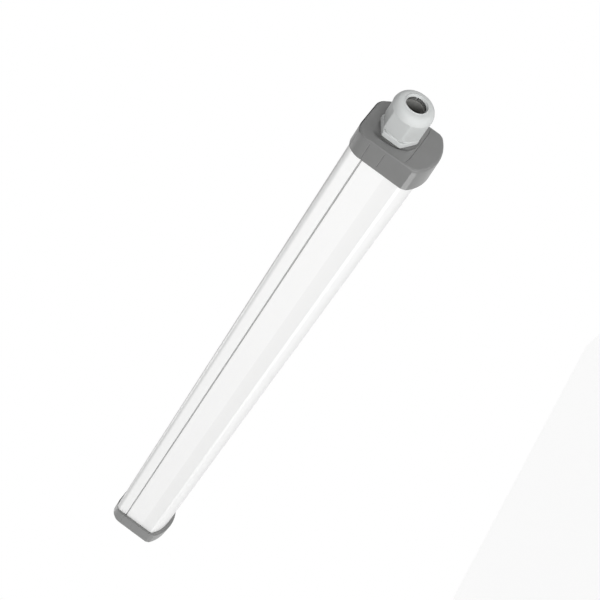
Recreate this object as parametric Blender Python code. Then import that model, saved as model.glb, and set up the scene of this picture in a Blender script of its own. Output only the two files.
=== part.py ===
"""Vapor tight light fixture: an opal tube with a flat back and a round nose, closed by two moulded
end caps, one of them with a cable gland, and holding a gear tray, LED boards, driver and terminals.

Metres, +Z up. X runs along the tube, with the gland end at +X. The origin is the middle of the
tube's flat back face, which goes against the ceiling, so the fixture lies below z = 0.
"""

import math

import bmesh
import bpy
from mathutils import Vector

# Whole fixture
OVERALL_LENGTH = 0.600  # between the outer faces of the two end caps
SEAT_GAP = 0.0003  # between pieces that rest on each other
OVERRUN = 0.001  # how far a cutter runs past what it cuts

# Diffuser tube, a co-extruded opal section
TUBE_HALF_WIDTH = 0.0185
AXIS_DEPTH = 0.0202  # from the back face down to the nose arc's centre, which is the gland's axis
NOSE_RADIUS = 0.0279
TUBE_WALL = 0.0016
TUBE_BACK_CORNER = 0.0050
TUBE_NOSE_CORNER = 0.0030
CLIP_GROOVE_LEVEL = 0.0121  # below the back face, for the mounting clips
CLIP_GROOVE_WIDTH = 0.0010
CLIP_GROOVE_DEPTH = 0.0004
CLIP_GROOVE_FLOOR_SHARE = 0.5  # of the groove's width

# Rails inside the tube, which hold the gear tray
RAIL_REACH = 0.0015
RAIL_THICKNESS = 0.0010

# End caps
CAP_LENGTH = 0.0187
CAP_SIDE_STAND = 0.0026  # how far the cap stands out past the tube at its rim
CAP_NOSE_STAND = 0.0036
CAP_BACK_STAND = 0.0013
CAP_DRAFT = 0.0006  # how much the cap draws in from its rim to its end, except at its flat back
CAP_BACK_CORNER = 0.0098
CAP_NOSE_CORNER = 0.0052
CAP_EDGE_ROUND = 0.0012
CAP_RIM_ROUND = 0.0004
CAP_END_WALL = 0.0030  # under the gland's seat
CAP_FIT = 0.0003  # clearance round the tube
LEAST_CORNER_SHARE = 0.15  # of a corner radius, left where an outline is drawn in
CAP_LINE_WIDTH = 0.0008  # moulded lines along the cap's side
CAP_LINE_DEPTH = 0.0003
CAP_LINE_START = 0.0030  # from the cap's end plane
CAP_SHORT_LINE_LEVEL = 0.0219  # below the back face
CAP_SHORT_LINE_LENGTH = 0.0119

# Scoop in the cap's end face, round the gland
SEAT_DEPTH = 0.0007  # of the seat that the gland stands on, below the raised flat
SEAT_RADIUS = 0.0122
SCOOP_DEPTH = 0.0019  # of the floor round the seat, below the raised flat
SCOOP_FLOOR_RADIUS = 0.0145
SCOOP_EDGE = 0.0158  # straight edge of the raised flat, from the gland's axis toward the nose
SCOOP_ARC_RADIUS = 0.0320  # foot of the flare below that edge
SCOOP_ARC_REACH = 0.0151
SLOPE_BEND_SHARE = 0.5  # of the way from the floor out to the shelf, where the slope steepens
SLOPE_BEND_RISE_SHARE = 0.3  # of its height, reached there
SHELF_DEPTH = 0.0010  # below the tilted part of the end face
SHELF_TILT = 0.0016  # how far that part falls from the raised flat to the tube's back
SHELF_START = 0.0140  # where the tilt starts, from the gland's axis toward the nose

# End seals
SEAL_THICKNESS = 0.0020
SEAL_LIP = 0.0012  # how far the seal reaches inside the tube's bore

# Cable gland, size M20
GLAND_ACROSS_FLATS = 0.0240
HEX_CORNER_RADIUS = 0.0138  # radius to the rounded corners of the hexagons
THREAD_RADIUS = 0.0099
THREAD_CLEARANCE = 0.0003
THREAD_LENGTH = 0.0090  # below the flange
FLANGE_THICKNESS = 0.0039
COLLAR_RADIUS = 0.0114
COLLAR_THICKNESS = 0.0008
SPIGOT_RADIUS = 0.0092
SPIGOT_HEIGHT = 0.0105  # above the collar
BODY_BORE = 0.0069
INSERT_SEAT = 0.0062  # from the scoop's floor up to the step that carries the seal insert
INSERT_RADIUS = 0.0076
INSERT_TOP_RADIUS = 0.0070
INSERT_BORE = 0.0062
INSERT_LENGTH = 0.0164
INSERT_TAPER = 0.0030
CLAMP_COLLAR_HEIGHT = 0.0014
CLAMP_HEIGHT = 0.0088
CLAMP_TIP_BORE = 0.0067
CLAW_COUNT = 10
CLAW_GAP = 0.0012
NUT_HEIGHT = 0.0218
NUT_CLEARANCE = 0.0004
NUT_FOOT_CHAMFER = 0.0006
NUT_TURN = math.radians(-8)  # of its flats against the body's, as it happens to be screwed on
NUT_HEX_SHARE = 0.69  # of the nut's height, up to where the flats end
NUT_LEDGE_RUN = 0.0010  # from there up to the round dome, which stands out over the flats
DOME_START_SHARE = 0.63  # of the nut's height, where the dome's curve starts
DOME_FULLNESS = 2.6  # exponent of the dome's curve: 2 is an ellipse, more is fuller
DOME_RADIUS = 0.0138
NUT_MOUTH_OUTER = 0.0082
NUT_MOUTH_INNER = 0.0067
NUT_LIP_ROUND = 0.0004
NUT_THREAD_SHARE = 0.57
NUT_CONE_TOP_SHARE = 0.93
NUT_CONE_TOP_RADIUS = 0.0080
LOCK_NUT_THICKNESS = 0.0040
LOCK_NUT_CHAMFER = 0.0006
GASKET_INNER = 0.0105
GASKET_OUTER = 0.0114
GASKET_THICKNESS = 0.0009

# Gear tray
TRAY_LEVEL = 0.0282  # lower face of the sheet, below the back face
TRAY_SHEET = 0.0008
TRAY_END_SPACE = 0.0219  # from the tube's end to the tray's end
TRAY_EDGE_CLEARANCE = 0.0004
BEAD_OFFSET = 0.0128  # middle of the stiffening beads from the centre line
BEAD_WIDTH = 0.0024
BEAD_HEIGHT = 0.0010
BEAD_TOP_SHARE = 0.4
LEAD_SLOT_LENGTH = 0.0120
LEAD_SLOT_WIDTH = 0.0080
LEAD_SLOT_SPACE = 0.0200  # middle of the slot from the driver's inner end

# Tray stops, one at each end
STOP_THICKNESS = 0.0030
STOP_SIDE_CLEARANCE = 0.0004
STOP_CORNER = 0.0030
STOP_NOSE_CORNER = 0.0010
STOP_WINDOW_WIDTH = 0.0200
STOP_WINDOW_TOP = 0.0060  # below the back face
STOP_WINDOW_HEIGHT = 0.0190
STOP_ARM_WIDTH = 0.0160
STOP_ARM_THICKNESS = 0.0040
STOP_ARM_SPACE = 0.0045  # under the arm, down to the inside of the nose

# LED boards
BOARD_END_SPACE = 0.0080  # from the tray's end
BOARD_WIDTH = 0.0200
BOARD_THICKNESS = 0.0010
BOARD_MIDDLE_GAP = 0.0006
LED_COUNT = 16
LED_LENGTH = 0.0035
LED_WIDTH = 0.0028
LED_HEIGHT = 0.0008
LED_SINK = 0.0002
LED_FIRST = 0.0120  # middle of the first one from the fixture's middle
LED_LAST_SPACE = 0.0060  # middle of the last one from the board's end
LINK_LENGTH = 0.0140
LINK_WIDTH = 0.0080
LINK_HEIGHT = 0.0028
LINK_CHAMFER = 0.0006

# Driver
DRIVER_SPACE = 0.0370  # from the terminal block's back to the driver
DRIVER_LENGTH = 0.1300
DRIVER_WIDTH = 0.0216
DRIVER_HEIGHT = 0.0165
DRIVER_WALL = 0.0012
DRIVER_CORNER = 0.0015
EAR_LENGTH = 0.0080
EAR_WIDTH = 0.0180
DRIVER_BOARD_SPACE = 0.0025  # from the inside of the walls to the circuit board
DRIVER_BOARD_THICKNESS = 0.0012
TRANSFORMER_SIZE = (0.0180, 0.0130, 0.0090)
CAPACITOR_RADIUS = 0.0042
CAPACITOR_HEIGHT = 0.0095
CHOKE_RADIUS = 0.0035
CHOKE_HEIGHT = 0.0070
COMPONENT_SINK = 0.0002
CAPACITOR_PLACE_SHARES = (-0.32, -0.20, 0.38)
CHOKE_PLACE_SHARE = 0.24

# Screws of the driver and the earth connection
SCREW_HEAD_RADIUS = 0.0028
SCREW_HEAD_HEIGHT = 0.0016
SCREW_SHANK_RADIUS = 0.0014
SCREW_REACH = 0.0022  # of the shank below the tray
SCREW_HOLE_RADIUS = 0.0018
BOARD_HOLE_RADIUS = 0.0022
SCREW_OFFSET = 0.0055  # from the centre line
EARTH_SCREW_SPACE = 0.0190  # from the terminal block's back

# Terminal block
TERMINAL_SPACE = 0.0130  # from the tray's end to the terminal block's front
TERMINAL_LENGTH = 0.0200
TERMINAL_WIDTH = 0.0218
TERMINAL_HEIGHT = 0.0145
TERMINAL_CHAMFER = 0.0020
POLE_PITCH = 0.0070
POLE_COUNT = 3
WELL_LENGTH = 0.0070
WELL_WIDTH = 0.0050
WELL_DEPTH = 0.0095
ENTRY_SIZE = 0.0038
ENTRY_LEVEL = 0.0072  # middle of the wire entries above the foot of the block
BUTTON_CLEARANCE = 0.0003
BUTTON_STAND = 0.0020  # above the housing at rest
BUTTON_HEIGHT = 0.0056
BUTTON_CHAMFER = 0.0005
SPRING_STRIP = 0.0004
SPRING_WIDTH = 0.0030
SPRING_LENGTH = 0.0056

# Wires
WIRE_RADIUS = 0.0009
WIRE_POINT_SPACING = 0.0025
WIRE_STRAIGHT = 0.0036  # of each end, square to what it meets
LEAD_SPREAD = 0.0022  # of the two LED leads from the centre line

# Facets
TURN_STEPS = 48
SMALL_TURN_STEPS = 16
BACK_CORNER_STEPS = 4
NOSE_CORNER_STEPS = 3
NOSE_ARC_STEPS = 9
EDGE_ROUND_STEPS = 4
SPRING_BEND_STEPS = 8
DOME_STEPS = 8
SHARP_ANGLE = math.radians(32)

# Places worked out from the sizes above
END_PLANE = OVERALL_LENGTH / 2
GLAND_FACE = END_PLANE - SEAT_DEPTH
CAP_INNER_FACE = GLAND_FACE - CAP_END_WALL
TUBE_END = CAP_INNER_FACE - SEAT_GAP - SEAL_THICKNESS - SEAT_GAP
TRAY_END = TUBE_END - TRAY_END_SPACE
INNER_HALF_WIDTH = TUBE_HALF_WIDTH - TUBE_WALL
TRAY_TOP = -TRAY_LEVEL + TRAY_SHEET
BOARD_TOP = -TRAY_LEVEL - SEAT_GAP
BOARD_END = TRAY_END - BOARD_END_SPACE
TERMINAL_MIDDLE = TRAY_END - TERMINAL_SPACE - TERMINAL_LENGTH / 2
TERMINAL_BACK = TERMINAL_MIDDLE - TERMINAL_LENGTH / 2
EARTH_SCREW_PLACE = TERMINAL_BACK - EARTH_SCREW_SPACE
DRIVER_END = TERMINAL_BACK - DRIVER_SPACE
DRIVER_START = DRIVER_END - DRIVER_LENGTH
DRIVER_MIDDLE = (DRIVER_START + DRIVER_END) / 2
LEAD_SLOT_PLACE = DRIVER_START - LEAD_SLOT_SPACE
DRIVER_FOOT = TRAY_TOP + SEAT_GAP
TERMINAL_FOOT = TRAY_TOP + SEAT_GAP
TERMINAL_TOP = TERMINAL_FOOT + TERMINAL_HEIGHT
FLANGE_TOP = SEAT_GAP + FLANGE_THICKNESS
COLLAR_TOP = FLANGE_TOP + COLLAR_THICKNESS
SPIGOT_TOP = COLLAR_TOP + SPIGOT_HEIGHT
NUT_FOOT = COLLAR_TOP + SEAT_GAP
NUT_TOP = NUT_FOOT + NUT_HEIGHT
NUT_BORE = SPIGOT_RADIUS + NUT_CLEARANCE
COUNTERBORE = INSERT_RADIUS + SEAT_GAP


def clear_scene():
    for obj in list(bpy.data.objects):
        bpy.data.objects.remove(obj, do_unlink=True)


def material(name, colour, roughness, metallic=0.0):
    found = bpy.data.materials.get(name)
    if found:
        return found
    made = bpy.data.materials.new(name)
    made.use_nodes = True
    shader = made.node_tree.nodes["Principled BSDF"]
    shader.inputs["Base Color"].default_value = (*colour, 1.0)
    shader.inputs["Roughness"].default_value = roughness
    shader.inputs["Metallic"].default_value = metallic
    made.diffuse_color = (*colour, 1.0)
    return made


def opal():
    return material("opal_polycarbonate", (0.93, 0.93, 0.92), 0.35)


def cap_grey():
    return material("cap_grey_plastic", (0.21, 0.21, 0.22), 0.45)


def gland_grey():
    return material("gland_light_grey_nylon", (0.62, 0.62, 0.62), 0.4)


def dark_rubber():
    return material("dark_rubber", (0.03, 0.03, 0.03), 0.7)


def silicone():
    return material("white_silicone", (0.75, 0.75, 0.74), 0.6)


def white_steel():
    return material("white_painted_steel", (0.85, 0.85, 0.84), 0.4)


def white_plastic():
    return material("white_plastic", (0.80, 0.80, 0.79), 0.4)


def driver_white():
    return material("driver_white_plastic", (0.72, 0.72, 0.70), 0.5)


def board_green():
    return material("circuit_board_green", (0.03, 0.16, 0.07), 0.5)


def zinc_steel():
    return material("zinc_plated_steel", (0.62, 0.62, 0.60), 0.35, 1.0)


def spring_steel():
    return material("spring_steel", (0.55, 0.55, 0.56), 0.3, 1.0)


def button_orange():
    return material("button_orange_plastic", (0.75, 0.26, 0.04), 0.4)


def object_of(name, bm, surface, parent=None, place=(0, 0, 0)):
    """Turns the bmesh into an object with its faces pointing out and its round faces smooth."""
    bmesh.ops.recalc_face_normals(bm, faces=bm.faces)
    mesh = bpy.data.meshes.new(name)
    bm.to_mesh(mesh)
    bm.free()
    mesh.materials.append(surface)
    mesh.shade_smooth()
    mesh.set_sharp_from_angle(angle=SHARP_ANGLE)
    obj = bpy.data.objects.new(name, mesh)
    bpy.context.collection.objects.link(obj)
    obj.parent = parent
    obj.location = place
    return obj


def empty(name, place=(0, 0, 0)):
    obj = bpy.data.objects.new(name, None)
    bpy.context.collection.objects.link(obj)
    obj.location = place
    return obj


def boolean(obj, operation, helper):
    """Cuts the helper from the object, or joins it on, and hides the helper."""
    helper.hide_render = True
    helper.display_type = "WIRE"
    modifier = obj.modifiers.new(f"{operation.lower()} {helper.name}", "BOOLEAN")
    modifier.operation = operation
    modifier.object = helper
    modifier.solver = "EXACT"


def cut(obj, *helpers):
    for helper in helpers:
        boolean(obj, "DIFFERENCE", helper)


def join(obj, *helpers):
    for helper in helpers:
        boolean(obj, "UNION", helper)


def add_rings(bm, rings, closed=False, ladder=False):
    """Adds rings of points with faces between them: a closed tube of rings, or one with end faces.

    A ladder's last end face is a strip of faces from side to side, so it can bend along Z.
    """
    rows = [[bm.verts.new(point) for point in ring] for ring in rings]
    pairs = list(zip(rows, rows[1:]))
    if closed:
        pairs.append((rows[-1], rows[0]))
    else:
        bm.faces.new(rows[0])
        last = rows[-1]
        if ladder:
            for i in range(len(last) // 2):
                rung = (last[i], last[i + 1], last[-i - 1], last[-i])
                bm.faces.new([vert for n, vert in enumerate(rung) if vert not in rung[:n]])
        else:
            bm.faces.new(last)
    for first, second in pairs:
        for i in range(len(first)):
            j = (i + 1) % len(first)
            bm.faces.new((first[i], first[j], second[j], second[i]))


def loft(name, rings, surface, parent=None, place=(0, 0, 0)):
    bm = bmesh.new()
    add_rings(bm, rings)
    return object_of(name, bm, surface, parent, place)


def prism_x(name, outline, start, end, surface, parent=None, place=(0, 0, 0)):
    """Extrudes a (y, z) outline along X."""
    rings = [[Vector((x, y, z)) for y, z in outline] for x in (start, end)]
    return loft(name, rings, surface, parent, place)


def prism_y(name, outline, half_width, surface, parent=None, place=(0, 0, 0)):
    """Extrudes an (x, z) outline along Y, the same way to both sides."""
    rings = [[Vector((x, y, z)) for x, z in outline] for y in (-half_width, half_width)]
    return loft(name, rings, surface, parent, place)


def add_box(bm, low, high):
    corners = [(low[0], low[1]), (high[0], low[1]), (high[0], high[1]), (low[0], high[1])]
    add_rings(bm, [[Vector((x, y, z)) for x, y in corners] for z in (low[2], high[2])])


def box(name, low, high, surface, parent=None, place=(0, 0, 0)):
    bm = bmesh.new()
    add_box(bm, low, high)
    return object_of(name, bm, surface, parent, place)


def tapered_box(name, length, width, levels, surface, parent=None, place=(0, 0, 0)):
    """A box up Z whose outline is drawn in at each (z, inset) of levels."""
    rings = []
    for z, inset in levels:
        x = length / 2 - inset
        y = width / 2 - inset
        rings.append([Vector(p) for p in ((-x, -y, z), (x, -y, z), (x, y, z), (-x, y, z))])
    return loft(name, rings, surface, parent, place)


def circle_ring(radius, x, steps=TURN_STEPS):
    """Points round the X axis. The radius is a number or a function of the angle from +Y."""
    ring = []
    for i in range(steps):
        angle = math.tau * i / steps
        r = radius(angle) if callable(radius) else radius
        ring.append(Vector((x, r * math.cos(angle), r * math.sin(angle))))
    return ring


def turned(name, stations, surface, parent=None, steps=TURN_STEPS):
    """A ring-shaped solid round the X axis from (x, radius) stations that close on themselves."""
    bm = bmesh.new()
    add_rings(bm, [circle_ring(radius, x, steps) for x, radius in stations], closed=True)
    return object_of(name, bm, surface, parent)


def cylinder_z(name, radius, low, high, surface, parent=None, place=(0, 0, 0)):
    rings = []
    for z in (low, high):
        turn = [math.tau * i / SMALL_TURN_STEPS for i in range(SMALL_TURN_STEPS)]
        rings.append([Vector((radius * math.cos(a), radius * math.sin(a), z)) for a in turn])
    return loft(name, rings, surface, parent, place)


def hexagon(across_flats, corner_radius, turned_by=0.0):
    """Radius by angle of a hexagon with rounded corners, two of them on the Z axis before its turn."""

    def radius(angle):
        turn = (angle - turned_by + math.pi / 6) % (math.pi / 3) - math.pi / 6
        return min(across_flats / 2 / math.cos(turn), corner_radius)

    return radius


def half_section(half_width, back, nose_radius, back_corner, nose_corner, side=()):
    """Right half of the fixture's section, from the back's middle round to the nose, as (y, z).

    The nose is an arc about the gland's axis that meets the flat side in a fillet. side lists
    (inset, z) points of grooves or ribs on the flat side, from the top down.
    """
    points = [(0.0, back)]
    for i in range(BACK_CORNER_STEPS + 1):
        angle = math.pi / 2 * (1 - i / BACK_CORNER_STEPS)
        y = half_width - back_corner + back_corner * math.cos(angle)
        points.append((y, back - back_corner + back_corner * math.sin(angle)))
    points += [(half_width - inset, z) for inset, z in side]
    centre_y = half_width - nose_corner
    centre_z = -math.sqrt((nose_radius - nose_corner) ** 2 - centre_y**2)
    turn = math.atan2(centre_z, centre_y)
    for i in range(NOSE_CORNER_STEPS):
        angle = turn * i / NOSE_CORNER_STEPS
        y = centre_y + nose_corner * math.cos(angle)
        points.append((y, centre_z - AXIS_DEPTH + nose_corner * math.sin(angle)))
    for i in range(NOSE_ARC_STEPS + 1):
        angle = turn + (-math.pi / 2 - turn) * i / NOSE_ARC_STEPS
        points.append((nose_radius * math.cos(angle), nose_radius * math.sin(angle) - AXIS_DEPTH))
    points[-1] = (0.0, points[-1][1])
    return points


def whole_section(half):
    return half + [(-y, z) for y, z in reversed(half[1:-1])]


def tube_section(grow, side=()):
    """The tube's outline, drawn out by grow or, where that is negative, drawn in."""
    return whole_section(
        half_section(
            TUBE_HALF_WIDTH + grow,
            grow,
            NOSE_RADIUS + grow,
            TUBE_BACK_CORNER + grow,
            TUBE_NOSE_CORNER + grow,
            side,
        )
    )


def end_level(z):
    """X of the cap's end face at z: level on the nose side, tilted toward the back."""
    above = max(z + AXIS_DEPTH + SHELF_START, 0.0)
    return -SHELF_TILT * above / (AXIS_DEPTH + SHELF_START)


def cap_section(inset, draft=0.0):
    """The cap's outline at its rim, drawn in by the inset, with a point where the tilt starts.

    The draft draws in all but the flat back.
    """
    back = CAP_BACK_STAND - inset
    inset += draft
    return whole_section(
        half_section(
            TUBE_HALF_WIDTH + CAP_SIDE_STAND - inset,
            back,
            NOSE_RADIUS + CAP_NOSE_STAND - inset,
            max(CAP_BACK_CORNER - inset, CAP_BACK_CORNER * LEAST_CORNER_SHARE),
            max(CAP_NOSE_CORNER - inset, CAP_NOSE_CORNER * LEAST_CORNER_SHARE),
            [(0.0, -AXIS_DEPTH - SHELF_START)],
        )
    )


def groove_side():
    """Points of the clip groove on the tube's flat side."""
    half = CLIP_GROOVE_WIDTH / 2
    floor = half * CLIP_GROOVE_FLOOR_SHARE
    return [
        (0.0, -CLIP_GROOVE_LEVEL + half),
        (CLIP_GROOVE_DEPTH, -CLIP_GROOVE_LEVEL + floor),
        (CLIP_GROOVE_DEPTH, -CLIP_GROOVE_LEVEL - floor),
        (0.0, -CLIP_GROOVE_LEVEL - half),
    ]


def rail_side():
    """Points of the two rails on the tube's inner side, with the slot for the tray between them."""
    slot_top = TRAY_TOP + SEAT_GAP
    slot_foot = -TRAY_LEVEL - SEAT_GAP
    points = []
    for top, foot in ((slot_top + RAIL_THICKNESS, slot_top), (slot_foot, slot_foot - RAIL_THICKNESS)):
        points += [(0.0, top), (RAIL_REACH, top), (RAIL_REACH, foot), (0.0, foot)]
    return points


def diffuser_tube():
    obj = prism_x("diffuser_tube", tube_section(0.0, groove_side()), -TUBE_END, TUBE_END, opal())
    inside = tube_section(-TUBE_WALL, rail_side())
    reach = TUBE_END + OVERRUN
    cut(obj, prism_x("tube_bore_cutter", inside, -reach, reach, opal()))


def between(start, end, share):
    return tuple(a + (b - a) * share for a, b in zip(start, end))


def scoop_profile(angle):
    """Radius and x of the scoop's stations in one direction from the gland's axis."""
    toward_nose = -math.sin(angle)
    reach = AXIS_DEPTH + CAP_BACK_STAND + CAP_BACK_CORNER + OVERRUN
    edge = SCOOP_EDGE / toward_nose if toward_nose > 0 else 2 * reach
    centre = SCOOP_ARC_REACH - SCOOP_ARC_RADIUS
    arc = centre * toward_nose + math.sqrt(SCOOP_ARC_RADIUS**2 - (centre * math.cos(angle)) ** 2)
    inner = min(arc, reach - OVERRUN)
    shelf = (inner, end_level(-AXIS_DEPTH - inner * toward_nose) - SHELF_DEPTH)
    floor = (min(SCOOP_FLOOR_RADIUS, inner), -SCOOP_DEPTH)
    bend_radius = between(floor, shelf, SLOPE_BEND_SHARE)[0]
    bend = (bend_radius, between(floor, shelf, SLOPE_BEND_RISE_SHARE)[1])
    seat = [(SEAT_RADIUS, -SEAT_DEPTH), (SEAT_RADIUS, -SCOOP_DEPTH)]
    if edge < reach:
        past = between(shelf, (edge, 0.0), (OVERRUN - shelf[1]) / -shelf[1])
        top = between(shelf, past, SLOPE_BEND_SHARE)
    else:
        top = between(shelf, (edge, 0.0), (reach - inner) / (edge - inner))
        past = (reach, OVERRUN)
    return *seat, floor, bend, shelf, top, past


def scoop_cutter(name):
    """Hollows the end face: the gland's seat, a floor round it, a shelf and a flare up to the flat."""
    angles = [math.tau * i / TURN_STEPS for i in range(TURN_STEPS)]
    profiles = [(a, scoop_profile(a)) for a in angles]
    rings = []
    for stations in zip(*[profile for _, profile in profiles]):
        points = [(r * math.cos(a), r * math.sin(a), x) for a, (r, x) in zip(angles, stations)]
        rings.append([Vector((x, y, z - AXIS_DEPTH)) for y, z, x in points])
    return loft(name, rings, cap_grey())


def line_cutter(name, level, length):
    """Both grooves of one moulded line along the cap's sides, which draw in toward the end."""
    bm = bmesh.new()
    half = CAP_LINE_WIDTH / 2
    for side in (-1, 1):
        rings = []
        for x in (-CAP_LINE_START - length, -CAP_LINE_START):
            draft = CAP_DRAFT * (x + CAP_LENGTH) / (CAP_LENGTH - CAP_EDGE_ROUND)
            floor = TUBE_HALF_WIDTH + CAP_SIDE_STAND - draft - CAP_LINE_DEPTH
            outer = TUBE_HALF_WIDTH + CAP_SIDE_STAND + OVERRUN
            corners = [(floor, -half), (outer, -half), (outer, half), (floor, half)]
            rings.append([Vector((x, side * y, z - level)) for y, z in corners])
        add_rings(bm, rings)
    return object_of(name, bm, cap_grey())


def end_cap(name, side, bored):
    """A moulded end cap. Its own X runs out of the fixture, from zero at its end plane."""
    rim = [(-CAP_LENGTH, CAP_RIM_ROUND), (-CAP_LENGTH + CAP_RIM_ROUND, 0.0)]
    rings = [[Vector((x, y, z)) for y, z in cap_section(inset)] for x, inset in rim]
    for i in range(EDGE_ROUND_STEPS + 1):
        angle = math.pi / 2 * i / EDGE_ROUND_STEPS
        inset = CAP_EDGE_ROUND * (1 - math.cos(angle))
        drop = CAP_EDGE_ROUND * (1 - math.sin(angle))
        rings.append([Vector((end_level(z) - drop, y, z)) for y, z in cap_section(inset, CAP_DRAFT)])
    bm = bmesh.new()
    add_rings(bm, rings, ladder=True)
    obj = object_of(name, bm, cap_grey())
    inner = -SEAT_DEPTH - CAP_END_WALL
    helpers = [
        prism_x(f"{name}_socket_cutter", tube_section(CAP_FIT), -CAP_LENGTH - OVERRUN, inner, cap_grey()),
        scoop_cutter(f"{name}_scoop_cutter"),
        line_cutter(f"{name}_long_line_cutter", CLIP_GROOVE_LEVEL, CAP_LENGTH),
        line_cutter(f"{name}_short_line_cutter", CAP_SHORT_LINE_LEVEL, CAP_SHORT_LINE_LENGTH),
    ]
    if bored:
        rings = [circle_ring(THREAD_RADIUS + THREAD_CLEARANCE, x) for x in (inner - OVERRUN, OVERRUN)]
        place = (0, 0, -AXIS_DEPTH)
        helpers.append(loft(f"{name}_gland_hole_cutter", rings, cap_grey(), place=place))
    cut(obj, *helpers)
    frame = empty(f"{name}_frame", (side * END_PLANE, 0, 0))
    frame.rotation_euler.z = 0.0 if side > 0 else math.pi
    for piece in (obj, *helpers):
        piece.parent = frame


def end_seal(name, side):
    near = side * (TUBE_END + SEAT_GAP)
    far = near + side * SEAL_THICKNESS
    obj = prism_x(name, tube_section(0.0), near, far, silicone())
    inside = tube_section(-TUBE_WALL - SEAL_LIP)
    cut(obj, prism_x(f"{name}_cutter", inside, near - side * OVERRUN, far + side * OVERRUN, silicone()))


def gland_body(axis):
    hexagonal = hexagon(GLAND_ACROSS_FLATS, HEX_CORNER_RADIUS)
    groove_inner = GASKET_INNER - SEAT_GAP
    groove_outer = GASKET_OUTER + SEAT_GAP
    groove_top = SEAT_GAP + GASKET_THICKNESS + SEAT_GAP
    stations = [
        (-THREAD_LENGTH, BODY_BORE),
        (-THREAD_LENGTH, THREAD_RADIUS),
        (SEAT_GAP, THREAD_RADIUS),
        (SEAT_GAP, groove_inner),
        (groove_top, groove_inner),
        (groove_top, groove_outer),
        (SEAT_GAP, groove_outer),
        (SEAT_GAP, hexagonal),
        (FLANGE_TOP, hexagonal),
        (FLANGE_TOP, COLLAR_RADIUS),
        (COLLAR_TOP, COLLAR_RADIUS),
        (COLLAR_TOP, SPIGOT_RADIUS),
        (SPIGOT_TOP, SPIGOT_RADIUS),
        (SPIGOT_TOP, COUNTERBORE),
        (INSERT_SEAT, COUNTERBORE),
        (INSERT_SEAT, BODY_BORE),
    ]
    turned("gland_body", stations, gland_grey(), axis)


def gland_gasket(axis):
    top = SEAT_GAP + GASKET_THICKNESS
    foot = SEAT_GAP
    stations = [(foot, GASKET_INNER), (foot, GASKET_OUTER), (top, GASKET_OUTER), (top, GASKET_INNER)]
    turned("gland_gasket", stations, dark_rubber(), axis)


def gland_lock_nut(axis):
    top = -CAP_END_WALL - SEAT_GAP
    foot = top - LOCK_NUT_THICKNESS
    bore = THREAD_RADIUS + THREAD_CLEARANCE
    hexagonal = hexagon(GLAND_ACROSS_FLATS, HEX_CORNER_RADIUS)
    chamfered = hexagon(GLAND_ACROSS_FLATS, GLAND_ACROSS_FLATS / 2)
    stations = [
        (foot, bore),
        (foot, chamfered),
        (foot + LOCK_NUT_CHAMFER, hexagonal),
        (top, hexagonal),
        (top, bore),
    ]
    turned("gland_lock_nut", stations, gland_grey(), axis)


def gland_seal_insert(axis):
    foot = INSERT_SEAT + SEAT_GAP
    top = foot + INSERT_LENGTH
    stations = [
        (foot, INSERT_BORE),
        (foot, INSERT_RADIUS),
        (top - INSERT_TAPER, INSERT_RADIUS),
        (top, INSERT_TOP_RADIUS),
        (top, INSERT_BORE),
    ]
    turned("gland_seal_insert", stations, dark_rubber(), axis)


def nut_inner_radius(x):
    """Inner radius of the dome nut's cone at x."""
    start = NUT_FOOT + NUT_HEIGHT * NUT_THREAD_SHARE
    end = NUT_FOOT + NUT_HEIGHT * NUT_CONE_TOP_SHARE
    share = min(max((x - start) / (end - start), 0.0), 1.0)
    return NUT_BORE + (NUT_CONE_TOP_RADIUS - NUT_BORE) * share


def gland_clamp_ring(axis):
    """A ring of claws that the dome nut's cone presses onto the seal insert."""
    foot = SPIGOT_TOP + SEAT_GAP
    collar = foot + CLAMP_COLLAR_HEIGHT
    top = foot + CLAMP_HEIGHT
    insert_top = INSERT_SEAT + SEAT_GAP + INSERT_LENGTH
    stations = [
        (foot, COUNTERBORE),
        (foot, nut_inner_radius(foot) - SEAT_GAP),
        (collar, nut_inner_radius(collar) - SEAT_GAP),
        (top, nut_inner_radius(top) - SEAT_GAP),
        (top, CLAMP_TIP_BORE),
        (insert_top, INSERT_TOP_RADIUS + SEAT_GAP),
        (insert_top - INSERT_TAPER, COUNTERBORE),
    ]
    obj = turned("gland_clamp_ring", stations, gland_grey(), axis)
    bm = bmesh.new()
    for i in range(CLAW_COUNT):
        angle = math.tau * (i + 1 / 2) / CLAW_COUNT
        out = Vector((0, math.cos(angle), math.sin(angle)))
        across = Vector((0, -math.sin(angle), math.cos(angle))) * (CLAW_GAP / 2)
        near = out * (CLAMP_TIP_BORE / 2)
        far = out * (NUT_BORE + OVERRUN)
        corners = (near - across, far - across, far + across, near + across)
        rings = [[Vector((x, 0, 0)) + corner for corner in corners] for x in (collar, top + OVERRUN)]
        add_rings(bm, rings)
    cut(obj, object_of("claw_gap_cutter", bm, gland_grey(), axis))


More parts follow.
